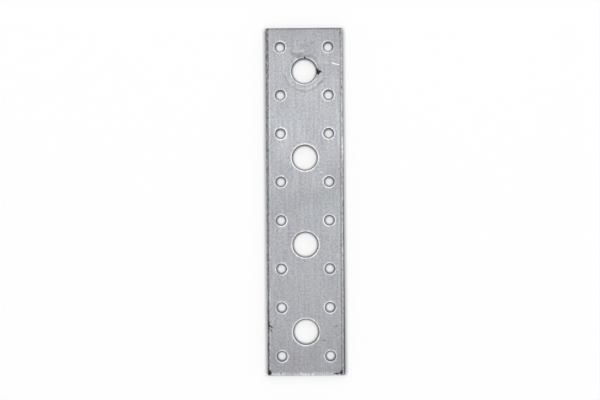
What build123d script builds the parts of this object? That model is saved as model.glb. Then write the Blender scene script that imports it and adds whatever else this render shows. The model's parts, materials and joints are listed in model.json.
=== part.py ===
from build123d import *
import os

# Flat mending plate of zinc coated steel, in millimetres.
# A strip is sheared to width, cropped to length and punched, so every edge and hole has the section that
# shearing leaves: the surface rolls over, a smooth land follows, and the rest breaks away at a slight taper.
# The plate lies on its back: +Z up, +Y along the strip, origin at the middle of the back face.

# Strip
strip_width = 40.0
thickness = 3.0
corner_radius = 1.4
corner_overhang = 0.1  # each corner's arc runs out this far past the sides, so it meets them at a slight angle

# Hole pattern: equal cells along the strip, each a bolt hole inside a square of nail holes
cell_count = 4
cell_length = 45.0
end_distance = 22.5  # end of the plate to the nearest bolt hole's centre
bolt_hole_diameter = 13.0  # clears a 12 mm bolt
nail_hole_diameter = 5.0  # clears a 4 mm nail or a 4.5 mm screw
nail_spacing = 25.0  # side of the square, centre to centre

# Sheared edges of the strip and its cropped ends
left_roll_width = 1.4  # the two knives are set apart, so the two sides roll over unlike
right_roll_width = 1.9
side_roll_depth = 0.7
end_roll_width = 1.4
end_roll_depth = 0.6
edge_break_height = 1.2  # broken part of the edge, next to the face away from the roll
edge_break_setback = 0.15

# Punched holes, all from the front
bolt_hole_roll_width = 0.6
bolt_hole_roll_depth = 0.25
nail_hole_roll_width = 0.5
nail_hole_roll_depth = 0.2
hole_break_height = 1.4
die_clearance = 0.2  # gap between punch and die on each side, which widens the broken part of a hole

plate_length = (cell_count - 1) * cell_length + 2 * end_distance
waste = 2.0  # how far the cutting shapes reach past the plate


def edge_waste(roll_width, roll_depth):
    """What shearing leaves off a square edge: the sheet lies along -X, its rolled face on top at Y = 0."""
    roll = TangentArc((-roll_width, 0), (0, -roll_depth), tangent=(1, 0))
    rest = Polyline(
        (0, -roll_depth),
        (waste / 2, -roll_depth),
        (waste / 2, edge_break_height - thickness),
        (0, edge_break_height - thickness),
        (-edge_break_setback, -thickness),
        (-edge_break_setback, -thickness - waste),
        (waste, -thickness - waste),
        (waste, waste),
        (-roll_width, waste),
        (-roll_width, 0),
    )
    return make_face(roll.edges() + rest.edges())


def side_waste():
    """Both sides roll over towards the front."""
    left = Pos(-strip_width / 2, thickness) * mirror(edge_waste(left_roll_width, side_roll_depth), Plane.YZ)
    right = Pos(strip_width / 2, thickness) * edge_waste(right_roll_width, side_roll_depth)
    return [extrude(Plane.XZ * face, plate_length, both=True) for face in (left, right)]


def end_waste():
    """The near end is cropped from the front, the far end from the back."""
    edge = edge_waste(end_roll_width, end_roll_depth)
    near = Pos(-plate_length / 2, thickness) * mirror(edge, Plane.YZ)
    far = Pos(plate_length / 2, 0) * mirror(edge, Plane.XZ)
    return [extrude(Plane.YZ * face, strip_width, both=True) for face in (near, far)]


def punched_hole(diameter, roll_width, roll_depth):
    """What a punch takes out, round the Z axis."""
    radius = diameter / 2
    rim = (radius + roll_width, thickness)
    roll = TangentArc(rim, (radius, thickness - roll_depth), tangent=(-1, 0))
    wall = Polyline(
        (radius, thickness - roll_depth),
        (radius, hole_break_height),
        (radius + die_clearance, 0),
        (0, 0),
        (0, thickness),
        rim,
    )
    return revolve(Plane.XZ * make_face(roll.edges() + wall.edges()), Axis.Z)


def hole_pattern():
    """Every hole of the plate, cell by cell."""
    bolt_hole = punched_hole(bolt_hole_diameter, bolt_hole_roll_width, bolt_hole_roll_depth)
    nail_hole = punched_hole(nail_hole_diameter, nail_hole_roll_width, nail_hole_roll_depth)
    cells = GridLocations(1, cell_length, 1, cell_count).locations
    square = GridLocations(nail_spacing, nail_spacing, 2, 2).locations
    bolts = [cell * bolt_hole for cell in cells]
    nails = [cell * corner * nail_hole for cell in cells for corner in square]
    return bolts + nails


oversize = 2 * corner_overhang
rounded = RectangleRounded(strip_width + oversize, plate_length + oversize, corner_radius)
blank = extrude(Rectangle(strip_width, plate_length) & rounded, thickness)
plate = blank - side_waste() - end_waste() - hole_pattern()

os.makedirs("parts", exist_ok=True)
export_step(plate, "parts/plate.step")
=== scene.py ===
import json
import math
import bpy
import bmesh
from mathutils import Euler, Matrix, Vector, noise


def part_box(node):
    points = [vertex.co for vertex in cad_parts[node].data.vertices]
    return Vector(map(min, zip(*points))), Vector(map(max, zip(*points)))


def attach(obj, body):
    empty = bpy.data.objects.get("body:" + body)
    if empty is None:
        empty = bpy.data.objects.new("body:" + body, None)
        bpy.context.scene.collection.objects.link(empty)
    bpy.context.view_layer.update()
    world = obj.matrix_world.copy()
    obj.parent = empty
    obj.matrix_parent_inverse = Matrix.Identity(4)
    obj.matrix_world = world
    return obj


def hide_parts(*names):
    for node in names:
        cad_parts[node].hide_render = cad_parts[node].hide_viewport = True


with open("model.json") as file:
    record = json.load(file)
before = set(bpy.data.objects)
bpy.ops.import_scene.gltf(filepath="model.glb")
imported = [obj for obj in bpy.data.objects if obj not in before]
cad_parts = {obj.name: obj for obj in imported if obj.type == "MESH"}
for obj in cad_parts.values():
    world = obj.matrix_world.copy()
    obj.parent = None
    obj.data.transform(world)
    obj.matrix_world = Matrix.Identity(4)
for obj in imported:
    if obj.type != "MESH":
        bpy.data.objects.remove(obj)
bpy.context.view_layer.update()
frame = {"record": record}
mm = 0.001
sharpAngle = 30  # degrees between two faces from which the line between them stays crisp
print("Frame loaded")


def linearColor(code):  # sRGB hex to linear RGBA
    parts = [int(code[i:i + 2], 16) / 255 for i in (1, 3, 5)]
    return [c / 12.92 if c <= 0.04045 else ((c + 0.055) / 1.055) ** 2.4 for c in parts] + [1.0]


def addNode(tree, kind, settings={}, inputs={}):  # one node with its settings, values and links
    node = tree.nodes.new(kind)
    for name, value in settings.items():
        setattr(node, name, value)
    for name, value in inputs.items():
        if isinstance(value, bpy.types.NodeSocket):
            tree.links.new(value, node.inputs[name])
        else:
            node.inputs[name].default_value = value
    return node


def addPiece(bm, name, materials):  # a finished bmesh becomes a piece that lies still on the body
    mesh = bpy.data.meshes.new(name)
    bm.to_mesh(mesh)
    bm.free()
    for material in materials:
        mesh.materials.append(material)
    mesh.polygons.foreach_set("use_smooth", [True] * len(mesh.polygons))
    mesh.set_sharp_from_angle(angle=math.radians(sharpAngle))
    piece = bpy.data.objects.new(name, mesh)
    bpy.context.scene.collection.objects.link(piece)
    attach(piece, "root")
    return piece


# Camera: straight above, a little nearer to one end of the plate

cameraPlace = {
    "location": (0.99 * mm, -22.47 * mm, 735.35 * mm),
    "turn": (1.799, 0.3, -0.455),  # degrees
    "lens": 85,
    "sensor": 36,
    "clipStart": 0.01,
}
cameraData = bpy.data.cameras.new("camera")
cameraData.lens = cameraPlace["lens"]
cameraData.sensor_width = cameraPlace["sensor"]
cameraData.clip_start = cameraPlace["clipStart"]
camera = bpy.data.objects.new("camera", cameraData)
camera.location = cameraPlace["location"]
camera.rotation_euler = Euler([math.radians(a) for a in cameraPlace["turn"]])
bpy.context.scene.collection.objects.link(camera)
bpy.context.scene.camera = camera
bpy.context.scene.view_settings.view_transform = "Standard"
print("Camera set")


# The plate: one sheet with its holes, given walls and then moved to the section that shearing leaves

plateShape = {
    "gridStep": 0.5 * mm,
    "extraLines": [0.12 * mm, 0.25 * mm, 0.75 * mm, 1.25 * mm],  # in from the outer edges, where they roll
    "wallCuts": 5,
    "cornerRadius": 1.0 * mm,
    "leftRoll": (1.4 * mm, 0.7 * mm),  # width and depth
    "rightRoll": (1.9 * mm, 0.7 * mm),
    "endRoll": (1.4 * mm, 0.6 * mm),
    "boltRoll": (0.6 * mm, 0.25 * mm),
    "nailRoll": (0.5 * mm, 0.2 * mm),
    "edgeBreak": (1.2 * mm, 0.15 * mm),  # height and setback
    "holeBreak": (1.4 * mm, 0.2 * mm),
    "edgeBreakReach": 1.0 * mm,  # how far in from an edge or a hole its break moves the metal
    "holeBreakReach": 0.9 * mm,
    "smallestBolt": 4.0 * mm,  # radius from which a hole is a bolt hole
    "boltSquare": 8.0 * mm,  # half the square left open in the grid for a hole's rings
    "nailSquare": 4.0 * mm,
    "collar": 0.35 * mm,  # flat ring between a hole's roll and the grid
    "rollRings": (1.0, 0.7, 0.42, 0.18, 0.0),  # shares of a hole's roll
    "slack": 0.01 * mm,  # tolerance when the edges of that square are looked up
}
low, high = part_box("plate")
width, length, thickness = high - low


def holesInRecord():  # centre and radius of every hole, from the record's bolt patterns
    holes = []
    for mount in frame["record"]["mounts"]:
        if mount["kind"] == "bolt_pattern":
            dims = mount["dims"]
            halfX = dims.get("spacing_x_mm", 0) * mm / 2
            halfY = dims["spacing_y_mm"] * mm / 2
            for x in sorted({-halfX, halfX}):
                for y in (-halfY, halfY):
                    centre = Vector((mount["pos_m"][0] + x, mount["pos_m"][1] + y, 0))
                    holes.append((centre, dims["hole_r_mm"] * mm))
    return holes


holes = holesInRecord()


def isBolt(radius):
    return radius > plateShape["smallestBolt"]


def rollOf(radius):
    return plateShape["boltRoll" if isBolt(radius) else "nailRoll"]


def squareOf(radius):
    return plateShape["boltSquare" if isBolt(radius) else "nailSquare"]


def turnedRound(offset):  # a point on a square's side goes to the same share of a circle of radius 1
    if abs(offset.x) >= abs(offset.y):
        angle = offset.y / offset.x * math.pi / 4
        return Vector((math.cos(angle), math.sin(angle), 0)) * math.copysign(1, offset.x)
    angle = offset.x / offset.y * math.pi / 4
    return Vector((math.sin(angle), math.cos(angle), 0)) * math.copysign(1, offset.y)


def cutHole(bm, centre, radius):  # rings close in from a square opening to the hole
    half = squareOf(radius) + plateShape["slack"]
    ring = [e for e in bm.edges if e.is_boundary and all(
        abs(v.co.x - centre.x) < half and abs(v.co.y - centre.y) < half for v in e.verts)]
    rollWidth = rollOf(radius)[0]
    gaps = [rollWidth + plateShape["collar"]] + [rollWidth * share for share in plateShape["rollRings"]]
    isRound = False
    for gap in gaps:
        grown = bmesh.ops.extrude_edge_only(bm, edges=ring)["geom"]
        inner = {g for g in grown if isinstance(g, bmesh.types.BMVert)}
        ring = [g for g in grown if isinstance(g, bmesh.types.BMEdge) and set(g.verts) <= inner]
        for v in inner:
            offset = v.co - centre
            direction = offset.normalized() if isRound else turnedRound(offset)
            v.co = centre + direction * (radius + gap)
        isRound = True


def flatSheet():  # the plate's outline with its holes, as one flat grid
    bm = bmesh.new()
    step = plateShape["gridStep"]
    bmesh.ops.create_grid(bm, x_segments=round(width / step), y_segments=round(length / step), size=0.5,
                          matrix=Matrix.Diagonal((width, length, 1, 1)))
    covered = []
    for face in bm.faces:
        middle = face.calc_center_median()
        if any(max(abs(middle.x - c.x), abs(middle.y - c.y)) < squareOf(r) for c, r in holes):
            covered.append(face)
    bmesh.ops.delete(bm, geom=covered, context="FACES")
    for centre, radius in holes:
        cutHole(bm, centre, radius)
    for inset in plateShape["extraLines"]:
        for normal, reach in (((1, 0, 0), width / 2), ((0, 1, 0), length / 2)):
            for side in (-1, 1):
                bmesh.ops.bisect_plane(bm, geom=bm.verts[:] + bm.edges[:] + bm.faces[:], dist=1e-7,
                                       plane_co=Vector(normal) * side * (reach - inset), plane_no=normal)
    return bm


def rollDrop(distance, roll):  # how far the surface has rolled over at this distance from the edge
    rollWidth, depth = roll
    if distance >= rollWidth:
        return 0
    bend = (rollWidth ** 2 + depth ** 2) / (2 * depth)
    return bend - math.sqrt(bend ** 2 - (rollWidth - distance) ** 2)


def falloff(distance, reach):  # 1 at no distance, 0 from this reach on
    return max(0.0, 1 - distance / reach)


# Unevenness of the front face: dents, the print of a washer and rolls that come and go along the edges

relief = {
    "dents": [  # x, y, half length, half width, turn in degrees, depth: all in mm and from the plate's middle
        (7.9, 67.0, 1.7, 1.5, 0, 0.30),  # torn zinc at the rim of the last bolt hole, with dark crumbs in it
        (0.3, 74.4, 0.5, 0.9, 0, 0.20),
        (-19.6, -64.2, 1.2, 0.8, 20, 0.22),  # nick in the left edge
        (-18.9, -66.4, 1.0, 0.4, 60, 0.08),
        (-18.9, -88.5, 1.5, 1.7, 0, 0.20),  # bruised corners at the near end
        (17.9, -88.6, 1.2, 1.4, 0, 0.20),
        (15.6, -88.9, 1.6, 0.6, 0, 0.12),
    ],
    "dentReach": 3,  # mm, more than any dent goes from its middle
    "washer": (0, 67.5, 10.3, 0.7, 0.03),  # x, y, radius, width and depth of its print in mm
    "flatness": 0.02 * mm,
    "flatnessWaves": (60, 45),  # per metre, across and along
    "leftWaver": (0.16, 1.5 * mm, 1),  # share by which the roll comes and goes, its finest wave, a seed
    "rightWaver": (0.16, 1.2 * mm, 2),
    "nearWaver": (0.45, 0.7 * mm, 3),
    "coarseRipple": 1.2,  # in waves 4 times as long as the finest
    "fineRipple": 0.9,
}


def rippleAt(where, finest, seed):  # coarse and fine waves together, from two parts of the noise
    coarse = noise.noise(Vector((where / finest / 4, seed, 0)))
    fine = noise.noise(Vector((where / finest, seed, 7)))
    return relief["coarseRipple"] * coarse + relief["fineRipple"] * fine


def reliefAt(x, y):  # depth of dents and prints at a point of the front face
    across, along = relief["flatnessWaves"]
    depth = relief["flatness"] * (0.5 + 0.5 * noise.noise(Vector((x * across, y * along, 3))))
    for dentX, dentY, halfLength, halfWidth, turn, dentDepth in relief["dents"]:
        offset = Vector((x / mm - dentX, y / mm - dentY))
        if offset.length < relief["dentReach"]:
            offset.rotate(Matrix.Rotation(-math.radians(turn), 2))
            reach = math.hypot(offset.x / halfLength, offset.y / halfWidth)
            depth += dentDepth * mm * max(0.0, 1 - reach ** 2)
    ringX, ringY, ringRadius, ringWidth, ringDepth = relief["washer"]
    away = abs(math.hypot(x / mm - ringX, y / mm - ringY) - ringRadius)
    return depth + ringDepth * mm * max(0.0, 1 - away / ringWidth)


def nearestHole(x, y):  # its centre, its radius and the distance to its edge
    centre, radius = min(holes, key=lambda hole: math.hypot(x - hole[0].x, y - hole[0].y) - hole[1])
    return centre, radius, math.hypot(x - centre.x, y - centre.y) - radius


def edgeDrop(distance, along, roll, waver):  # an outer edge's roll, uneven along the edge
    share, finest, seed = relief[waver]
    return rollDrop(distance, plateShape[roll]) * (1 + share * rippleAt(along, finest, seed))


def frontHeight(x, y):  # height of the rolled and dented front face
    radius, toHole = nearestHole(x, y)[1:]
    leftDrop = edgeDrop(x + width / 2, y, "leftRoll", "leftWaver")
    rightDrop = edgeDrop(width / 2 - x, y, "rightRoll", "rightWaver")
    nearDrop = edgeDrop(y + length / 2, x, "endRoll", "nearWaver")
    holeDrop = rollDrop(max(toHole, 0), rollOf(radius))
    return thickness - max(leftDrop, rightDrop, nearDrop, holeDrop) - reliefAt(x, y)


def between(start, end, share):
    return start + (end - start) * share


def sectionHeights(x, y, toHole):  # heights of a wall's rows of vertices, from the back face to the front
    far = length / 2 - y
    side = width / 2 - abs(x)
    isHole = toHole < min(side, far, y + length / 2)
    bottom = rollDrop(far, plateShape["endRoll"])
    top = frontHeight(x, y)
    lower = plateShape["holeBreak" if isHole else "edgeBreak"][0]
    quarters = (0, 0.25, 0.5, 0.75, 1)
    heights = [bottom, between(bottom, lower, 0.5)]
    heights += [between(lower, top, share) for share in quarters]
    corner = plateShape["cornerRadius"]
    if isHole or far > corner:
        return heights
    upper = thickness - plateShape["edgeBreak"][0]  # the far end, cropped from the back, breaks on top
    other = [between(bottom, upper, share) for share in quarters]
    other += [between(upper, top, 0.5), top]
    blend = min(1.0, max(0.0, (side - far) / corner + 0.5))
    return [between(a, b, blend) for a, b in zip(heights, other)]


def shapePlate(bm):  # moves the even walls and faces to the sheared section
    rows = plateShape["wallCuts"] + 1
    breakHeight, setback = plateShape["edgeBreak"]
    holeBreakHeight, clearance = plateShape["holeBreak"]
    edgeReach = plateShape["edgeBreakReach"]
    corner = plateShape["cornerRadius"]
    for v in bm.verts:
        row = round((v.co.z - low.z) / thickness * rows)
        x, y = v.co.x, v.co.y
        centre, radius, toHole = nearestHole(x, y)
        z = sectionHeights(x, y, toHole)[row]
        u = max(0.0, abs(x) - (width / 2 - corner)) / corner
        w = max(0.0, abs(y) - (length / 2 - corner)) / corner
        if u > 0 and w > 0:  # rounds the corner as a square turns to a disc
            v.co.x = math.copysign(width / 2 - corner + corner * u * math.sqrt(1 - w * w / 2), x)
            v.co.y = math.copysign(length / 2 - corner + corner * w * math.sqrt(1 - u * u / 2), y)
        if row < rows:  # breaks widen towards the back
            back = setback * falloff(z, breakHeight)
            v.co.x += back * (falloff(x + width / 2, edgeReach) - falloff(width / 2 - x, edgeReach))
            v.co.y += back * falloff(y + length / 2, edgeReach)
            outward = Vector((x - centre.x, y - centre.y, 0)).normalized()
            nearHole = falloff(toHole, plateShape["holeBreakReach"])
            v.co += outward * clearance * falloff(z, holeBreakHeight) * nearHole
        if row > 0:  # only at the far end they widen towards the front
            v.co.y -= setback * falloff(thickness - z, breakHeight) * falloff(length / 2 - y, edgeReach)
        v.co.z = low.z + z


def buildPlate():
    bm = flatSheet()
    grown = bmesh.ops.extrude_face_region(bm, geom=bm.faces[:], use_keep_orig=True)["geom"]
    raised = [g for g in grown if isinstance(g, bmesh.types.BMVert)]
    bmesh.ops.translate(bm, vec=(0, 0, thickness), verts=raised)
    upright = [e for e in bm.edges if abs(e.verts[0].co.z - e.verts[1].co.z) > thickness / 2]
    for edge in upright:
        for face in edge.link_faces:
            face.material_index = 1
    bmesh.ops.subdivide_edges(bm, edges=upright, cuts=plateShape["wallCuts"])
    shapePlate(bm)
    bmesh.ops.recalc_face_normals(bm, faces=bm.faces[:])
    return bm


# Hot-dip zinc on cold rolled strip: dull silver, fine lines along the strip, cloudy and speckled

zincFinish = {
    "light": "#c9cace",
    "dark": "#a8a9af",
    "contrast": {"From Min": 0.41, "From Max": 0.59},  # closer together, light and dark stand harder apart
    "lineSpacing": 1.1,  # mm; the real lines are finer and are drawn as coarse as they need to show
    "lineLength": 22,
    "speckle": 1.0,
    "cloud": 11,
    "lineShare": 0.3,
    "speckleShare": 0.58,
    "cloudShare": 0.12,
    "grainSharpness": 0.65,
    "tints": ("#fffdfe", "#fcfffe"),  # violet and green grey, a few millimetres apart
    "tintPatches": 0.15,  # per mm
    "tintBlend": {"From Min": 0.35, "From Max": 0.65},
    "roughness": {"From Min": 0.35, "From Max": 0.65, "To Min": 0.4, "To Max": 0.28},  # duller where darker
    "bump": (0.25, 0.1 * mm),  # strength and height
    "waver": (0.9, 0.45),  # waves per mm in the outlines of all tones, and their size in mm
    # Tones: 1 leaves the zinc as it is, and each list goes from mm from an edge to the tone there. The rim,
    # side and end tones are painted shade and painted highlights on the rolled edges and hole rims
    # round the holes: painted shade at the edge, then a painted highlight on the rolled rim
    "rimTones": {0.0: 0.04, 0.18: 0.14, 0.32: 1.1, 0.45: 2.0, 0.68: 1.85, 0.92: 1.15, 1.4: 1.0},
    "leftTones": {0.0: 0.72, 0.3: 0.82, 0.75: 0.64, 1.12: 0.55, 1.37: 0.95, 1.57: 1.25, 1.82: 1.15,
                  2.3: 1.0},
    "rightTones": {0.0: 0.22, 0.3: 0.55, 0.65: 1.05, 1.1: 1.0, 1.5: 0.58, 1.8: 0.85, 2.05: 1.08, 2.5: 1.0},
    "nearTones": {0.0: 0.7, 0.3: 1.15, 1.1: 1.22, 1.8: 1.0, 2.3: 0.92, 9.0: 0.92, 16.0: 0.95, 26.0: 1.0},
    "farTones": {0.0: 0.35, 0.5: 0.48, 0.9: 0.75, 1.3: 0.9, 8.0: 0.95, 16.0: 1.0},
    "stretchTones": {16.0: 1.0, 30.0: 1.03, 44.0: 1.08, 62.0: 1.07, 75.0: 0.98, 90.0: 0.93, 101.0: 0.97,
                     112.0: 1.0},  # painted lighter and darker stretches of the face where its reflection of the light changes, from the far end
    "washerTones": {0.0: 1.0, 0.5: 0.95, 1.0: 0.78, 1.4: 1.0, 2.0: 1.12, 3.2: 1.0},  # inwards
    "washerMargin": 1,  # mm outside its print where these start
    "leftSkew": 0.0047,  # the tones along the sides run slightly askew
    "rightSkew": 0.004,
    "rimHighlightPatches": 3.5,  # mm between brighter and duller patches of the painted rim highlight
    "rimHighlightStrength": {"From Min": 0.35, "From Max": 0.65, "To Min": 0.55, "To Max": 1.6},
    "rimInner": {"From Min": 14.5, "From Max": 11.0, "To Min": 0.6, "To Max": 1.15},  # mm from the middle
    "rimPressed": {"From Min": 6.0, "From Max": 24.0, "To Min": 0.4},  # mm from the washer's middle; the painted rim highlight is weaker near it
    "washerPatches": 0.09,  # per mm
    "washerBite": {"From Min": 0.36, "From Max": 0.5},
    "washerLower": {"From Min": 2.0, "From Max": -4.0},  # mm above the washer's middle
    # painted glints and painted shade in dashes along the rolled sides
    "rollGlintScale": (2.2, 0.55, 1),  # dashes per mm across and along the sides
    "rollGlintTones": {"From Min": 0.4, "From Max": 0.6, "To Min": 0.5, "To Max": 1.22},
    "rollGlintBand": (1.8, 1.3),  # mm from the side where it starts and where it is full
    "rollGlintSides": {"From Min": -1.0, "From Max": 1.0, "To Min": 1.0, "To Max": 0.6},  # less on the right
    "streakScale": (1.1, 0.25, 1),  # streaks per mm across and along, on the roll of the near end
    "streakTones": {"From Min": 0.4, "From Max": 0.66, "To Min": 0.8, "To Max": 1.35},
    "streakBand": (1.6, 2.4),  # mm from the end where they fade and where they stop
    "markEdge": {"From Min": 1.15, "From Max": 0.45},  # share of a mark's size where it starts and is full
    "markDepth": 1.5,  # mm
    "marks": [  # x, y, half length, half width, turn in degrees, tone
        # bright scratches beside the last bolt hole
        (16.2, 71.1, 2.5, 0.32, -13, 1.9), (15.2, 71.4, 1.2, 0.5, -20, 1.5), (17.6, 70.7, 0.9, 0.4, 5, 1.4),
        (9.6, 72.2, 3.6, 0.3, -6, 1.22), (11.4, 71.4, 2.4, 0.22, 4, 1.15), (8.2, 73.4, 1.8, 0.25, -20, 1.15),
        # darker patches round it, and the torn place at its rim
        (-4.2, 75.6, 2.8, 1.6, -25, 0.78), (-6.8, 77.4, 1.4, 0.9, -40, 0.86),
        (4.6, 74.9, 3.2, 1.3, -32, 0.86), (0.2, 74.9, 4.5, 0.9, 0, 0.82),
        (7.1, 70.2, 0.8, 2.6, 20, 0.84), (6.6, 64.6, 0.7, 2.2, -30, 0.84), (-7.3, 67.5, 0.8, 4.0, 0, 0.88),
        (7.0, 67.2, 0.7, 2.0, 0, 0.1), (8.0, 67.1, 1.3, 0.5, 0, 0.3), (10.5, 73.0, 0.3, 1.6, 8, 1.12),
        # a scrape and specks above it, bruises below it
        (-1.5, 78.0, 1.9, 0.35, 4, 1.4), (-1.9, 76.1, 2.9, 1.3, -8, 0.84), (4.6, 76.3, 3.0, 0.5, -25, 1.1),
        (-1.4, 81.2, 0.5, 0.4, 0, 0.6), (-0.2, 80.3, 0.6, 0.35, 30, 0.66), (4.3, 82.1, 1.0, 0.4, 55, 0.66),
        (9.0, 61.8, 2.2, 0.45, 28, 0.68), (7.2, 60.9, 1.4, 1.0, 20, 0.92), (-9.6, 64.2, 0.4, 2.2, 18, 0.86),
        (-10.0, 80.5, 2.2, 1.2, 20, 0.93),
        # a painted glint on the right roll with painted shade beside it, nicks in the right side, and broad
        # patches
        (19.66, 27.0, 0.3, 9.0, 0, 2.3), (19.1, 37.0, 0.35, 9.0, 0, 0.87), (-16.5, 28.0, 2.5, 9.0, 0, 0.92),
        (16.0, 60.5, 2.5, 6.0, 0, 1.1), (19.3, 58.9, 0.4, 0.9, 0, 0.35), (19.2, 55.8, 0.35, 0.6, 0, 0.45),
        (18.9, 87.4, 0.4, 1.3, 0, 0.7),
        # small scratches and specks along the strip
        (-7.6, 20.0, 1.8, 0.25, 56, 1.25), (8.4, 15.1, 1.2, 0.5, -10, 1.3), (-14.4, 15.3, 0.6, 0.5, 0, 1.25),
        (11.2, -28.8, 1.5, 0.25, 75, 0.78), (10.2, -30.5, 0.9, 0.25, 40, 0.78),
        (16.3, -28.6, 1.2, 0.25, 75, 1.3),
        (5.1, 38.0, 0.5, 0.3, 0, 0.85), (6.0, -9.8, 0.4, 0.3, 0, 0.8), (7.2, -6.6, 0.4, 0.3, 0, 0.8),
        # the nick in the left side and its cracks
        (-18.1, -64.7, 1.5, 0.5, -38, 0.2), (-18.1, -66.7, 1.6, 0.4, -62, 0.35),
        (-19.3, -64.0, 0.7, 2.8, 0, 0.45), (-18.6, -62.6, 1.2, 0.25, 55, 0.6),
        # scratches and bruised corners at the near end
        (-19.2, -57.0, 0.5, 2.0, 0, 0.6), (8.9, -72.0, 1.9, 0.35, -4, 0.6), (15.8, -64.6, 1.6, 0.5, 14, 0.68),
        (-18.9, -88.5, 1.3, 1.6, 0, 0.3), (17.9, -88.6, 1.1, 1.3, 0, 0.3), (15.5, -89.0, 1.5, 0.6, 0, 0.3),
        (12.0, -83.2, 0.6, 1.6, 20, 1.2), (-12.2, -83.6, 1.0, 0.8, 0, 1.1), (-15.4, -14.6, 0.4, 1.2, 0, 1.15),
    ],
}


def toneByDistance(tree, distance, tones):  # 0.5 in the ramp leaves a colour as it is
    reach = max(tones)
    share = addNode(tree, "ShaderNodeMapRange", inputs={"Value": distance, "From Max": reach})
    ramp = addNode(tree, "ShaderNodeValToRGB", inputs={"Fac": share.outputs[0]})
    stops = ramp.color_ramp.elements
    while len(stops) < len(tones):
        stops.new(0.5)
    for stop, (place, tone) in zip(stops, sorted(tones.items())):
        stop.position = place / reach
        stop.color = (tone / 2, tone / 2, tone / 2, 1)
    return addNode(tree, "ShaderNodeMath", {"operation": "MULTIPLY"}, {0: ramp.outputs[0], 1: 2.0}).outputs[0]


def toneOfMark(tree, place, mark):  # a scratch, smudge or speck with a soft outline
    x, y, halfLength, halfWidth, turn, tone = mark
    local = addNode(tree, "ShaderNodeMapping", {"vector_type": "TEXTURE"}, {
        "Vector": place,
        "Location": (x, y, thickness / mm),
        "Rotation": (0, 0, math.radians(turn)),
        "Scale": (halfLength, halfWidth, zincFinish["markDepth"]),
    })
    reach = addNode(tree, "ShaderNodeVectorMath", {"operation": "LENGTH"}, {0: local.outputs[0]})
    return addNode(tree, "ShaderNodeMapRange", {"interpolation_type": "SMOOTHSTEP"}, {
        "Value": reach.outputs["Value"], **zincFinish["markEdge"], "To Min": 1.0, "To Max": tone}).outputs[0]


def holeDistance(tree, x, y):  # mm from the nearest hole's edge: the pattern repeats with each bolt hole
    cell = length / mm / sum(isBolt(radius) for centre, radius in holes)
    wrapped = addNode(tree, "ShaderNodeMath", {"operation": "WRAP"}, {0: y, 1: cell, 2: 0.0})
    cellY = addNode(tree, "ShaderNodeMath", {"operation": "SUBTRACT"}, {0: wrapped.outputs[0], 1: cell / 2})
    found = []
    # the holes of a cell stand as far from its middle lines across as along
    kinds = {(round(radius / mm, 3), round(abs(centre.x) / mm, 3)) for centre, radius in holes}
    for radius, spread in sorted(kinds, reverse=True):
        sides = []
        for value in (x, cellY.outputs[0]):
            size = addNode(tree, "ShaderNodeMath", {"operation": "ABSOLUTE"}, {0: value})
            side = addNode(tree, "ShaderNodeMath", {"operation": "SUBTRACT"}, {0: size.outputs[0], 1: spread})
            sides.append(side.outputs[0])
        flat = addNode(tree, "ShaderNodeCombineXYZ", inputs={"X": sides[0], "Y": sides[1]})
        away = addNode(tree, "ShaderNodeVectorMath", {"operation": "LENGTH"}, {0: flat.outputs[0]})
        found.append(addNode(tree, "ShaderNodeMath", {"operation": "SUBTRACT"}, {
            0: away.outputs["Value"], 1: radius}).outputs[0])
    return addNode(tree, "ShaderNodeMath", {"operation": "MINIMUM"}, {0: found[0], 1: found[1]}).outputs[0]


def toneOfRim(tree, place, exact):  # round a hole: a painted dark edge of shade, then a painted highlight on the rolled rim, uneven in patches
    toHole = holeDistance(tree, exact.outputs["X"], exact.outputs["Y"])
    ring = toneByDistance(tree, toHole, zincFinish["rimTones"])
    dark = addNode(tree, "ShaderNodeMath", {"operation": "MINIMUM"}, {0: ring, 1: 1.0}).outputs[0]
    bright = addNode(tree, "ShaderNodeMath", {"operation": "SUBTRACT"}, {0: ring, 1: dark}).outputs[0]
    highlightNoise = addNode(tree, "ShaderNodeTexNoise", inputs={
        "Vector": place, "Scale": 1 / zincFinish["rimHighlightPatches"], "Detail": 2.0})
    highlightShare = addNode(tree, "ShaderNodeMapRange", inputs={"Value": highlightNoise.outputs[0], **zincFinish["rimHighlightStrength"]})
    side = addNode(tree, "ShaderNodeMath", {"operation": "ABSOLUTE"}, {0: exact.outputs["X"]})
    inner = addNode(tree, "ShaderNodeMapRange", inputs={"Value": side.outputs[0], **zincFinish["rimInner"]})
    washer = relief["washer"]
    away = addNode(tree, "ShaderNodeVectorMath", {"operation": "DISTANCE"}, {
        0: place, 1: (washer[0], washer[1], thickness / mm)})
    pressed = addNode(tree, "ShaderNodeMapRange", inputs={
        "Value": away.outputs["Value"], **zincFinish["rimPressed"]})
    for factor in (highlightShare, inner, pressed):
        bright = addNode(tree, "ShaderNodeMath", {"operation": "MULTIPLY"}, {
            0: bright, 1: factor.outputs[0]}).outputs[0]
    return addNode(tree, "ShaderNodeMath", {"operation": "ADD"}, {0: dark, 1: bright}).outputs[0]


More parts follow.
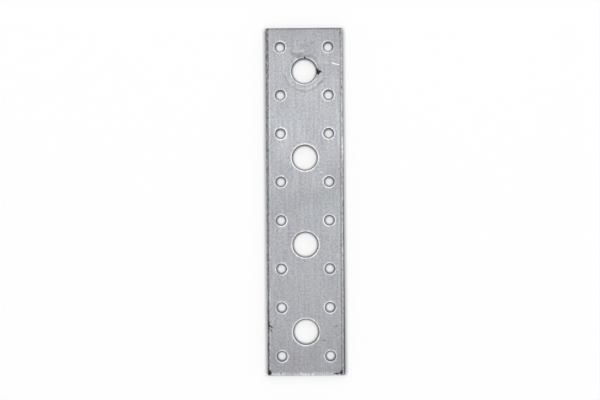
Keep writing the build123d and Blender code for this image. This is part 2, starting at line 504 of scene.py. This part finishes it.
def toneOfWasher(tree, place):  # its print: a thin dark ring with a rubbed band inside, only where it bit
    x, y, radius = relief["washer"][:3]
    local = addNode(tree, "ShaderNodeVectorMath", {"operation": "SUBTRACT"}, {
        0: place, 1: (x, y, thickness / mm)})
    away = addNode(tree, "ShaderNodeVectorMath", {"operation": "LENGTH"}, {0: local.outputs[0]})
    inward = addNode(tree, "ShaderNodeMath", {"operation": "SUBTRACT"}, {
        0: radius + zincFinish["washerMargin"], 1: away.outputs["Value"]})
    ring = toneByDistance(tree, inward.outputs[0], zincFinish["washerTones"])
    patches = addNode(tree, "ShaderNodeTexNoise", inputs={
        "Vector": place, "Scale": zincFinish["washerPatches"], "Detail": 1.0})
    bite = addNode(tree, "ShaderNodeMapRange", {"interpolation_type": "SMOOTHSTEP"}, {
        "Value": patches.outputs[0], **zincFinish["washerBite"]})
    axes = addNode(tree, "ShaderNodeSeparateXYZ", inputs={0: local.outputs[0]})
    lower = addNode(tree, "ShaderNodeMapRange", {"interpolation_type": "SMOOTHSTEP"}, {
        "Value": axes.outputs["Y"], **zincFinish["washerLower"]})
    share = addNode(tree, "ShaderNodeMath", {"operation": "MULTIPLY"}, {
        0: bite.outputs[0], 1: lower.outputs[0]})
    return addNode(tree, "ShaderNodeMix", {"data_type": "FLOAT"}, {
        0: share.outputs[0], 2: 1.0, 3: ring}).outputs[0]


def toneOfRollGlints(tree, place, x):  # painted glints and painted shade in short dashes along the rolled sides
    stretched = addNode(tree, "ShaderNodeMapping", inputs={
        "Vector": place, "Scale": zincFinish["rollGlintScale"]})
    dashes = addNode(tree, "ShaderNodeTexNoise", inputs={
        "Vector": stretched.outputs[0], "Scale": 1.0, "Detail": 4.0})
    amount = addNode(tree, "ShaderNodeMapRange", inputs={
        "Value": dashes.outputs[0], **zincFinish["rollGlintTones"]})
    side = addNode(tree, "ShaderNodeMath", {"operation": "ABSOLUTE"}, {0: x})
    start, full = zincFinish["rollGlintBand"]
    onRoll = addNode(tree, "ShaderNodeMapRange", inputs={
        "Value": side.outputs[0], "From Min": width / mm / 2 - start, "From Max": width / mm / 2 - full})
    leftOrRight = addNode(tree, "ShaderNodeMapRange", inputs={"Value": x, **zincFinish["rollGlintSides"]})
    share = addNode(tree, "ShaderNodeMath", {"operation": "MULTIPLY"}, {
        0: onRoll.outputs[0], 1: leftOrRight.outputs[0]})
    return addNode(tree, "ShaderNodeMix", {"data_type": "FLOAT"}, {
        0: share.outputs[0], 2: 1.0, 3: amount.outputs[0]}).outputs[0]


def toneOfStreaks(tree, place, y):  # the tool's short streaks on the roll of the near end
    stretched = addNode(tree, "ShaderNodeMapping", inputs={
        "Vector": place, "Scale": zincFinish["streakScale"]})
    streaks = addNode(tree, "ShaderNodeTexNoise", inputs={
        "Vector": stretched.outputs[0], "Scale": 1.0, "Detail": 3.0})
    streak = addNode(tree, "ShaderNodeMapRange", inputs={
        "Value": streaks.outputs[0], **zincFinish["streakTones"]})
    fade, stop = zincFinish["streakBand"]
    fromEnd = addNode(tree, "ShaderNodeMapRange", {"interpolation_type": "SMOOTHSTEP"}, {
        "Value": y, "From Min": -length / mm / 2 + fade, "From Max": -length / mm / 2 + stop})
    return addNode(tree, "ShaderNodeMix", {"data_type": "FLOAT"}, {
        0: fromEnd.outputs[0], 2: streak.outputs[0], 3: 1.0}).outputs[0]


def tonesOfEdges(tree, place):  # one painted shade and highlight tone for each side and end, and one for the painted lighter and darker stretches of the strip
    halfWidth, halfLength = width / mm / 2, length / mm / 2
    edges = [  # direction into the plate, the edge's reach in mm, tones
        ((1, -zincFinish["leftSkew"], 0), halfWidth, "leftTones"),
        ((-1, zincFinish["rightSkew"], 0), halfWidth, "rightTones"),
        ((0, 1, 0), halfLength, "nearTones"),
        ((0, -1, 0), halfLength, "farTones"),
        ((0, -1, 0), halfLength, "stretchTones"),
    ]
    tones = []
    for inward, reach, edgeTones in edges:
        along = addNode(tree, "ShaderNodeVectorMath", {"operation": "DOT_PRODUCT"}, {0: place, 1: inward})
        distance = addNode(tree, "ShaderNodeMath", {"operation": "ADD"}, {
            0: along.outputs["Value"], 1: reach})
        tones.append(toneByDistance(tree, distance.outputs[0], zincFinish[edgeTones]))
    return tones


def zincGrain(tree, place):  # fine lines, speckle and clouds in one pattern
    lineSize = (1 / zincFinish["lineSpacing"], 1 / zincFinish["lineLength"], 1)
    drawn = addNode(tree, "ShaderNodeMapping", inputs={"Vector": place, "Scale": lineSize})
    patterns = [  # coordinates, scale, detail, share
        (drawn.outputs[0], 1.0, 4.0, zincFinish["lineShare"]),
        (place, 1 / zincFinish["speckle"], 4.0, zincFinish["speckleShare"]),
        (place, 1 / zincFinish["cloud"], 2.0, zincFinish["cloudShare"]),
    ]
    total = 0.0
    for vector, scale, detail, share in patterns:
        grain = addNode(tree, "ShaderNodeTexNoise", inputs={
            "Vector": vector, "Scale": scale, "Detail": detail, "Roughness": zincFinish["grainSharpness"]})
        total = addNode(tree, "ShaderNodeMath", {"operation": "MULTIPLY_ADD"}, {
            0: grain.outputs[0], 1: share, 2: total}).outputs[0]
    return total


def zincColor(tree, place, grain):  # light and dark grey by the grain, with a faint change of hue
    blend = addNode(tree, "ShaderNodeMapRange", inputs={"Value": grain, **zincFinish["contrast"]})
    color = addNode(tree, "ShaderNodeMix", {"data_type": "RGBA"}, {
        0: blend.outputs[0], 6: linearColor(zincFinish["dark"]), 7: linearColor(zincFinish["light"])})
    patches = addNode(tree, "ShaderNodeTexNoise", inputs={
        "Vector": place, "Scale": zincFinish["tintPatches"], "Detail": 3.0})
    hue = addNode(tree, "ShaderNodeMapRange", inputs={"Value": patches.outputs[0], **zincFinish["tintBlend"]})
    violet, green = [linearColor(code) for code in zincFinish["tints"]]
    tint = addNode(tree, "ShaderNodeMix", {"data_type": "RGBA"}, {0: hue.outputs[0], 6: violet, 7: green})
    return addNode(tree, "ShaderNodeMix", {"data_type": "RGBA", "blend_type": "MULTIPLY"}, {
        0: 1.0, 6: color.outputs[2], 7: tint.outputs[2]}).outputs[2]


def galvanisedZinc():
    material = bpy.data.materials.new("galvanisedZinc")
    material.use_nodes = True
    tree = material.node_tree
    shader = tree.nodes["Principled BSDF"]
    shader.inputs["Metallic"].default_value = 1.0
    objectPlace = addNode(tree, "ShaderNodeTexCoord").outputs["Object"]
    place = addNode(tree, "ShaderNodeVectorMath", {"operation": "SCALE"}, {
        0: objectPlace, "Scale": 1 / mm}).outputs[0]
    exact = addNode(tree, "ShaderNodeSeparateXYZ", inputs={0: place})

    waveScale, waveSize = zincFinish["waver"]
    waves = addNode(tree, "ShaderNodeTexNoise", inputs={"Vector": place, "Scale": waveScale, "Detail": 2.0})
    centred = addNode(tree, "ShaderNodeVectorMath", {"operation": "SUBTRACT"}, {
        0: waves.outputs["Color"], 1: (0.5, 0.5, 0.5)})
    shift = addNode(tree, "ShaderNodeVectorMath", {"operation": "SCALE"}, {
        0: centred.outputs[0], "Scale": waveSize})
    wavy = addNode(tree, "ShaderNodeVectorMath", {"operation": "ADD"}, {
        0: place, 1: shift.outputs[0]}).outputs[0]
    wavyAxes = addNode(tree, "ShaderNodeSeparateXYZ", inputs={0: wavy})

    # painted shade and highlight round the holes
    tones = [toneOfRim(tree, place, exact)]
    # painted shade and highlights along the rolled edges, and painted stretches of the face
    tones += tonesOfEdges(tree, wavy)
    tones.append(toneOfStreaks(tree, place, wavyAxes.outputs["Y"]))
    # painted glints and painted shade in dashes along the rolled sides
    tones.append(toneOfRollGlints(tree, place, exact.outputs["X"]))
    tones.append(toneOfWasher(tree, wavy))
    tones += [toneOfMark(tree, wavy, mark) for mark in zincFinish["marks"]]
    tone = 1.0
    for part in tones:
        tone = addNode(tree, "ShaderNodeMath", {"operation": "MULTIPLY"}, {0: part, 1: tone}).outputs[0]
    isFront = addNode(tree, "ShaderNodeMath", {"operation": "GREATER_THAN"}, {
        0: exact.outputs["Z"], 1: thickness / mm / 2})
    shown = addNode(tree, "ShaderNodeMix", {"data_type": "FLOAT"}, {  # the back stays plain
        0: isFront.outputs[0], 2: 1.0, 3: tone})

    grain = zincGrain(tree, place)
    final = addNode(tree, "ShaderNodeVectorMath", {"operation": "SCALE"}, {
        0: zincColor(tree, place, grain), "Scale": shown.outputs[0]})
    tree.links.new(final.outputs[0], shader.inputs["Base Color"])
    gloss = addNode(tree, "ShaderNodeMapRange", inputs={"Value": grain, **zincFinish["roughness"]})
    tree.links.new(gloss.outputs[0], shader.inputs["Roughness"])
    strength, height = zincFinish["bump"]
    bump = addNode(tree, "ShaderNodeBump", inputs={"Height": grain, "Strength": strength, "Distance": height})
    tree.links.new(bump.outputs[0], shader.inputs["Normal"])
    return material


# Bare sheared edge: a smooth bright land that the tool has wiped, then a rough dark break

steelFinish = {
    "land": "#8e9093",
    "break": "#5f6063",
    # darker in the holes: painted shade down the hole walls
    "holeLand": "#7a7b7e",
    "holeBreak": "#58595c",
    "breakTop": 1.3,  # mm from the face that broke last
    "breakWander": (1.6, 1.0),  # waves per mm in the line between break and land, and their size in mm
    "breakBlur": 0.1,  # mm
    "dragScale": (3, 3, 0.3),  # streaks per mm round the wall and down it
    "dragTones": {"From Min": 0.3, "From Max": 0.7, "To Min": 0.75, "To Max": 1.2},
    "roughness": {"To Min": 0.6, "To Max": 0.38},  # of break and land
    "bump": (0.5, 0.15 * mm),
    "farBand": 0.3,  # mm from the far end that belong to its wall
    "holeBand": 0.5,  # mm from a hole's edge that belong to its wall
}


def shearedSteel():
    material = bpy.data.materials.new("shearedSteel")
    material.use_nodes = True
    tree = material.node_tree
    shader = tree.nodes["Principled BSDF"]
    shader.inputs["Metallic"].default_value = 1.0
    objectPlace = addNode(tree, "ShaderNodeTexCoord").outputs["Object"]
    place = addNode(tree, "ShaderNodeVectorMath", {"operation": "SCALE"}, {
        0: objectPlace, "Scale": 1 / mm}).outputs[0]
    axes = addNode(tree, "ShaderNodeSeparateXYZ", inputs={0: place})

    isFar = addNode(tree, "ShaderNodeMath", {"operation": "GREATER_THAN"}, {
        0: axes.outputs["Y"], 1: length / mm / 2 - steelFinish["farBand"]})
    turned = addNode(tree, "ShaderNodeMath", {"operation": "SUBTRACT"}, {
        0: thickness / mm, 1: axes.outputs["Z"]})
    height = addNode(tree, "ShaderNodeMix", {"data_type": "FLOAT"}, {  # the far end was cropped from the back
        0: isFar.outputs[0], 2: axes.outputs["Z"], 3: turned.outputs[0]})
    waveScale, waveSize = steelFinish["breakWander"]
    ragged = addNode(tree, "ShaderNodeTexNoise", inputs={"Vector": place, "Scale": waveScale, "Detail": 4.0})
    breakLine = addNode(tree, "ShaderNodeMath", {"operation": "MULTIPLY_ADD"}, {
        0: ragged.outputs[0], 1: waveSize, 2: steelFinish["breakTop"] - waveSize / 2})
    aboveBreak = addNode(tree, "ShaderNodeMath", {"operation": "SUBTRACT"}, {
        0: height.outputs[0], 1: breakLine.outputs[0]})
    blur = steelFinish["breakBlur"]
    land = addNode(tree, "ShaderNodeMapRange", inputs={
        "Value": aboveBreak.outputs[0], "From Min": -blur, "From Max": blur})

    toHole = holeDistance(tree, axes.outputs["X"], axes.outputs["Y"])
    isHole = addNode(tree, "ShaderNodeMath", {"operation": "LESS_THAN"}, {
        0: toHole, 1: steelFinish["holeBand"]})
    # the darker hole colours are painted shade
    colors = []
    for edge, hole in (("break", "holeBreak"), ("land", "holeLand")):
        colors.append(addNode(tree, "ShaderNodeMix", {"data_type": "RGBA"}, {
            0: isHole.outputs[0],
            6: linearColor(steelFinish[edge]),
            7: linearColor(steelFinish[hole]),
        }).outputs[2])
    color = addNode(tree, "ShaderNodeMix", {"data_type": "RGBA"}, {
        0: land.outputs[0], 6: colors[0], 7: colors[1]})

    upright = addNode(tree, "ShaderNodeMapping", inputs={"Vector": place, "Scale": steelFinish["dragScale"]})
    drag = addNode(tree, "ShaderNodeTexNoise", inputs={
        "Vector": upright.outputs[0], "Scale": 1.0, "Detail": 3.0})
    shade = addNode(tree, "ShaderNodeMapRange", inputs={"Value": drag.outputs[0], **steelFinish["dragTones"]})
    final = addNode(tree, "ShaderNodeVectorMath", {"operation": "SCALE"}, {
        0: color.outputs[2], "Scale": shade.outputs[0]})
    tree.links.new(final.outputs[0], shader.inputs["Base Color"])
    gloss = addNode(tree, "ShaderNodeMapRange", inputs={"Value": land.outputs[0], **steelFinish["roughness"]})
    tree.links.new(gloss.outputs[0], shader.inputs["Roughness"])
    strength, depth = steelFinish["bump"]
    bump = addNode(tree, "ShaderNodeBump", inputs={
        "Height": drag.outputs[0], "Strength": strength, "Distance": depth})
    tree.links.new(bump.outputs[0], shader.inputs["Normal"])
    return material


plate = addPiece(buildPlate(), "plate_finished", [galvanisedZinc(), shearedSteel()])
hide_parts("plate")
print("Plate built", len(plate.data.polygons))


# Dark crumbs in the torn and bruised places

darkCrumbs = {
    "color": "#1d1c1b",
    "roughness": 0.85,
    "grain": 2500,  # grains per metre
    "grainTones": {"To Min": 0.5, "To Max": 1.6},
    "lumps": (0.5, 2),  # share of a crumb's size and waves on it
    "pits": (0.2, 5),
    "headroom": 1.3,  # half heights that a crumb keeps below the plate's highest level
    "crumbs": [  # x, y, half sizes along x, y and z in mm, turn in degrees
        # the torn place at the rim of the last bolt hole, and the tick above it
        (7.0, 68.2, 0.55, 1.0, 0.14, -25), (7.2, 66.3, 0.6, 1.1, 0.14, 30), (7.8, 67.3, 1.0, 0.6, 0.13, -12),
        (8.8, 66.9, 0.45, 0.25, 0.1, -15), (7.6, 68.6, 0.3, 0.22, 0.1, 30), (7.9, 66.1, 0.35, 0.2, 0.1, -50),
        (0.35, 74.8, 0.4, 0.75, 0.12, 0),
        # the near left corner, and the nick in the left side
        (-18.9, -88.0, 0.45, 0.95, 0.14, 0), (-19.1, -88.8, 0.65, 0.55, 0.14, 20),
        (-18.3, -88.8, 0.5, 0.3, 0.12, 15), (-18.2, -87.2, 0.35, 0.22, 0.1, 50),
        (-18.9, -64.4, 0.7, 0.25, 0.1, -40),
        # the near right corner
        (18.1, -88.1, 0.42, 0.95, 0.14, -6), (17.7, -88.9, 0.7, 0.4, 0.14, 10),
        (18.5, -87.6, 0.3, 0.3, 0.1, 0), (15.5, -89.1, 1.0, 0.28, 0.12, 0),
        (14.6, -88.8, 0.4, 0.22, 0.1, 30), (16.6, -88.8, 0.35, 0.2, 0.1, -20),
    ],
}


def buildDarkCrumbs():
    bm = bmesh.new()
    lumpSize, lumpScale = darkCrumbs["lumps"]
    pitSize, pitScale = darkCrumbs["pits"]
    for x, y, halfX, halfY, halfZ, turn in darkCrumbs["crumbs"]:
        made = bmesh.ops.create_icosphere(bm, subdivisions=4, radius=1)["verts"]
        for v in made:
            lump = noise.noise(v.co * lumpScale + Vector((x, y, 0)))
            v.co *= 1 + lumpSize * lump + pitSize * noise.noise(v.co * pitScale)
        bmesh.ops.scale(bm, vec=(halfX * mm, halfY * mm, halfZ * mm), verts=made)
        bmesh.ops.rotate(bm, matrix=Matrix.Rotation(math.radians(turn), 3, "Z"), verts=made)
        level = min(frontHeight(x * mm, y * mm), high.z - halfZ * mm * darkCrumbs["headroom"])
        bmesh.ops.translate(bm, vec=(x * mm, y * mm, level), verts=made)
    bmesh.ops.recalc_face_normals(bm, faces=bm.faces[:])
    return bm


def darkCrumbFinish():  # nearly black, matt and crumbly
    material = bpy.data.materials.new("darkCrumbFinish")
    material.use_nodes = True
    tree = material.node_tree
    shader = tree.nodes["Principled BSDF"]
    place = addNode(tree, "ShaderNodeTexCoord").outputs["Object"]
    grain = addNode(tree, "ShaderNodeTexNoise", inputs={
        "Vector": place, "Scale": darkCrumbs["grain"], "Detail": 4.0})
    shade = addNode(tree, "ShaderNodeMapRange", inputs={"Value": grain.outputs[0], **darkCrumbs["grainTones"]})
    color = addNode(tree, "ShaderNodeVectorMath", {"operation": "SCALE"}, {
        0: linearColor(darkCrumbs["color"])[:3], "Scale": shade.outputs[0]})
    tree.links.new(color.outputs[0], shader.inputs["Base Color"])
    shader.inputs["Roughness"].default_value = darkCrumbs["roughness"]
    return material


crumbs = addPiece(buildDarkCrumbs(), "dark_crumbs", [darkCrumbFinish()])
print("Dirt built")


# Floor and light

studio = {
    "floorSize": 4,  # metres from its middle to each side
    "floorGap": 0.02 * mm,
    "floorColor": 0.9,
    "floorSeen": 0.36,  # the same paper as the camera and mirrors see it, which with its glow comes out white
    "floorGlow": 0.655,
    "contact": {  # how near to the plate the shadow deepens, and by how much, in the holes and outside
        "holes": (1.4 * mm, 1.5),
        "ends": (1.1 * mm, 0.5),
        "sides": (2.1 * mm, 1.15),
        "least": 0.15,  # what the deepest shadow leaves
        "samples": 16,
    },
    "softbox": {"location": (0.1, 0.9, 0.8), "target": (0, 0.05, 0), "size": (0.9, 0.5), "radiance": 0.8},
    "horizon": (0.12, 0.3),  # the dome is plain white below and has the two ramps above
    "upDown": {-1.0: 0.9, -0.5: 1.0, -0.3: 0.7, -0.16: 0.35, -0.08: 0.65, -0.03: 1.0, 0.03: 0.85, 0.06: 1.8,
               0.1: 2.7, 0.14: 1.1, 0.2: 0.3, 0.38: 1.05, 1.0: 1.0},
    "leftRight": {-1.0: 0.5, -0.7: 0.6, -0.45: 1.15, -0.15: 1.0, 0.1: 1.0, 0.22: 0.85, 0.4: 0.85, 0.6: 1.3,
                  0.85: 1.1, 1.0: 0.7},
}


def contactShade(tree):  # darkens the paper round the plate and in its holes
    place = addNode(tree, "ShaderNodeTexCoord").outputs["Object"]
    axes = addNode(tree, "ShaderNodeSeparateXYZ", inputs={0: place})
    contact = studio["contact"]
    reach, depth = contact["holes"]
    for axis, edge, beyond in (("Y", length / 2, contact["ends"]), ("X", width / 2, contact["sides"])):
        size = addNode(tree, "ShaderNodeMath", {"operation": "ABSOLUTE"}, {0: axes.outputs[axis]})
        isBeyond = addNode(tree, "ShaderNodeMath", {"operation": "GREATER_THAN"}, {
            0: size.outputs[0], 1: edge - plateShape["edgeBreak"][1]})
        reach = addNode(tree, "ShaderNodeMix", {"data_type": "FLOAT"}, {
            0: isBeyond.outputs[0], 2: reach, 3: beyond[0]}).outputs[0]
        depth = addNode(tree, "ShaderNodeMix", {"data_type": "FLOAT"}, {
            0: isBeyond.outputs[0], 2: depth, 3: beyond[1]}).outputs[0]
    sky = addNode(tree, "ShaderNodeAmbientOcclusion", {"samples": contact["samples"]}, {"Distance": reach})
    hidden = addNode(tree, "ShaderNodeMath", {"operation": "SUBTRACT"}, {0: 1.0, 1: sky.outputs["AO"]})
    deeper = addNode(tree, "ShaderNodeMath", {"operation": "MULTIPLY"}, {0: hidden.outputs[0], 1: depth})
    shade = addNode(tree, "ShaderNodeMath", {"operation": "SUBTRACT"}, {0: 1.0, 1: deeper.outputs[0]})
    return addNode(tree, "ShaderNodeMath", {"operation": "MAXIMUM"}, {
        0: shade.outputs[0], 1: contact["least"]}).outputs[0]


def whitePaper():  # matt and even; it shows plain white, with a soft shadow where the plate touches it
    material = bpy.data.materials.new("whitePaper")
    material.use_nodes = True
    tree = material.node_tree
    tree.nodes.remove(tree.nodes["Principled BSDF"])
    path = addNode(tree, "ShaderNodeLightPath")
    seen = addNode(tree, "ShaderNodeMath", {"operation": "MAXIMUM"}, {
        0: path.outputs["Is Camera Ray"], 1: path.outputs["Is Glossy Ray"]})
    seenThrough = addNode(tree, "ShaderNodeMath", {"operation": "MAXIMUM"}, {
        0: seen.outputs[0], 1: path.outputs["Is Transmission Ray"]}).outputs[0]
    contact = contactShade(tree)
    seenShade = addNode(tree, "ShaderNodeMath", {"operation": "MULTIPLY"}, {
        0: contact, 1: studio["floorSeen"]})
    shade = addNode(tree, "ShaderNodeMix", {"data_type": "FLOAT"}, {
        0: seenThrough, 2: studio["floorColor"], 3: seenShade.outputs[0]})
    paper = addNode(tree, "ShaderNodeBsdfDiffuse", inputs={"Color": shade.outputs[0]})
    strength = addNode(tree, "ShaderNodeMath", {"operation": "MULTIPLY"}, {0: contact, 1: seenThrough})
    glow = addNode(tree, "ShaderNodeEmission", inputs={
        "Color": [studio["floorGlow"]] * 3 + [1], "Strength": strength.outputs[0]})
    both = addNode(tree, "ShaderNodeAddShader", inputs={0: paper.outputs[0], 1: glow.outputs[0]})
    tree.links.new(both.outputs[0], tree.nodes["Material Output"].inputs["Surface"])
    return material


def buildFloor():
    bm = bmesh.new()
    bmesh.ops.create_grid(bm, x_segments=1, y_segments=1, size=studio["floorSize"],
                          matrix=Matrix.Translation((0, 0, low.z - studio["floorGap"])))
    mesh = bpy.data.meshes.new("floor")
    bm.to_mesh(mesh)
    bm.free()
    mesh.materials.append(whitePaper())
    floor = bpy.data.objects.new("floor", mesh)
    bpy.context.scene.collection.objects.link(floor)


def addSoftbox(name, location, target, size, radiance):  # radiance 1 shows as white in a mirror
    data = bpy.data.lights.new(name, "AREA")
    data.shape = "RECTANGLE"
    data.size, data.size_y = size
    data.energy = radiance * math.pi * size[0] * size[1]
    lamp = bpy.data.objects.new(name, data)
    lamp.location = location
    lamp.rotation_euler = (Vector(target) - Vector(location)).to_track_quat("-Z", "Y").to_euler()
    lamp.visible_camera = False
    bpy.context.scene.collection.objects.link(lamp)


def buildWorld():  # a dome of two crossed ramps of brightness, as soft panels round the plate would give
    world = bpy.data.worlds.new("studio")
    bpy.context.scene.world = world
    world.use_nodes = True
    tree = world.node_tree
    direction = addNode(tree, "ShaderNodeTexCoord").outputs["Generated"]
    axes = addNode(tree, "ShaderNodeSeparateXYZ", inputs={0: direction})
    strength = -1.0  # so that two ramps at 1 add up to 1
    for axis, stops in (("X", studio["leftRight"]), ("Y", studio["upDown"])):
        share = addNode(tree, "ShaderNodeMapRange", inputs={"Value": axes.outputs[axis], "From Min": -1.0})
        ramp = addNode(tree, "ShaderNodeValToRGB", inputs={"Fac": share.outputs[0]})
        ramp.color_ramp.interpolation = "EASE"
        elements = ramp.color_ramp.elements
        while len(elements) < len(stops):
            elements.new(0.5)
        for element, (place, tone) in zip(elements, sorted(stops.items())):
            element.position = (place + 1) / 2
            element.color = (tone / 2, tone / 2, tone / 2, 1)
        strength = addNode(tree, "ShaderNodeMath", {"operation": "MULTIPLY_ADD"}, {
            0: ramp.outputs[0], 1: 2.0, 2: strength}).outputs[0]
    start, full = studio["horizon"]
    rise = addNode(tree, "ShaderNodeMapRange", {"interpolation_type": "SMOOTHSTEP"}, {
        "Value": axes.outputs["Z"], "From Min": start, "From Max": full})
    dome = addNode(tree, "ShaderNodeMix", {"data_type": "FLOAT"}, {0: rise.outputs[0], 2: 1.0, 3: strength})
    background = tree.nodes["Background"]
    background.inputs["Color"].default_value = (1, 1, 1, 1)
    tree.links.new(dome.outputs[0], background.inputs["Strength"])


buildFloor()
buildWorld()
addSoftbox("softbox", **studio["softbox"])
print("Floor and lights set")
